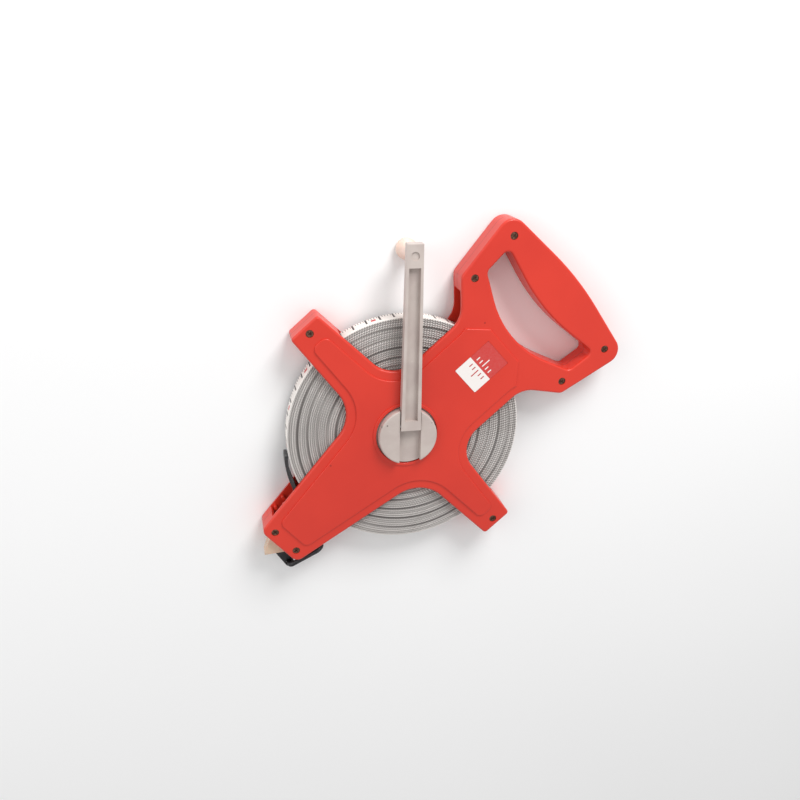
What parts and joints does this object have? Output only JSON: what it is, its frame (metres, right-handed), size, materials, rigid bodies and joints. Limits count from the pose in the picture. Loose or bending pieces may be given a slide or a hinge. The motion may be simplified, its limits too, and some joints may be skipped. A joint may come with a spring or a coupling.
{
  "type": "surveyor tape reel",
  "caption": "Open surveyor's tape reel: wound tape between two X-shaped frame halves, folding crank with knob, hand grip, and a claw and ring on the tape end.",
  "frame": {"origin": "middle of the base, with the reel lying on its rear face", "axes": "+X from the tape mouth to the hand grip, +Y across the frame, +Z out of the front face, along the drum's axis"},
  "size_m": [0.3048, 0.22, 0.0314],
  "materials": {
    "frame_plastic": "glossy red ABS, lightly worn on its edges",
    "hub_plastic": "warm grey moulded plastic",
    "knob_plastic": "cream moulded plastic",
    "claw_plastic": "cream moulded plastic",
    "ring_plastic": "black moulded plastic",
    "leader_strap": "black woven strap",
    "tape": "white fibreglass tape, wound, with dark gaps between turns",
    "label": "two-tone printed label",
    "dark_screw": "blackened cross-head screws",
    "steel": "zinc plated steel",
    "slide_washer": "white acetal"
  },
  "bodies": {
    "frame": {"front_frame": "frame_plastic", "rear_frame": "frame_plastic", "frame_screws": "dark_screw", "label_plate": "label", "front_washer": "slide_washer", "rear_washer": "slide_washer", "tape_leader": "leader_strap"},
    "reel": {"reel_drum": "hub_plastic", "tape_coil": "tape", "hub_disc": "hub_plastic", "rear_hub_cap": "hub_plastic", "hub_screws": "steel", "crank_hinge_pin": "steel"},
    "crank": {"crank_arm": "hub_plastic", "knob_pin": "hub_plastic"},
    "knob_body": {"knob": "knob_plastic"},
    "tape_end": {"end_fitting": "claw_plastic", "ring_lug": "ring_plastic", "leader_tail": "leader_strap", "end_rivet": "steel"},
    "ring": {"end_ring": "ring_plastic"},
    "upper_roller": {"upper_guide_roller": "slide_washer"},
    "lower_roller": {"lower_guide_roller": "slide_washer"}
  },
  "joints": [
    {"name": "reel_spin", "type": "hinge", "parent": "frame", "child": "reel", "pos_m": [-0.01205, 0, 0.012], "axis": [0, 0, 1], "range_deg": [0, 110]},
    {"name": "tape_pull", "type": "slide", "parent": "frame", "child": "tape_end", "axis": [-1, 0, 0], "range_m": [0, 0.1655]},
    {"name": "crank_fold", "type": "hinge", "parent": "reel", "child": "crank", "pos_m": [-0.00526, 0.00532, 0.0283], "axis": [0.7443, -0.6678, 0], "range_deg": [0, 180]},
    {"name": "knob_spin", "type": "hinge", "parent": "crank", "child": "knob_body", "pos_m": [0.07655, 0.0965, 0.012], "axis": [0, 0, 1], "continuous": true},
    {"name": "ring_swing", "type": "hinge", "parent": "tape_end", "child": "ring", "pos_m": [-0.14565, -0.0192, 0.012], "axis": [0, 0, -1], "range_deg": [0, 150]},
    {"name": "upper_roller_spin", "type": "hinge", "parent": "frame", "child": "upper_roller", "pos_m": [-0.13225, 0.0112, 0.012], "axis": [0, 0, 1], "continuous": true},
    {"name": "lower_roller_spin", "type": "hinge", "parent": "frame", "child": "lower_roller", "pos_m": [-0.13225, -0.0112, 0.012], "axis": [0, 0, 1], "continuous": true}
  ],
  "couplings": [
    {"joint": "tape_pull", "follows": "reel_spin", "m_per_rad": 0.086}
  ]
}
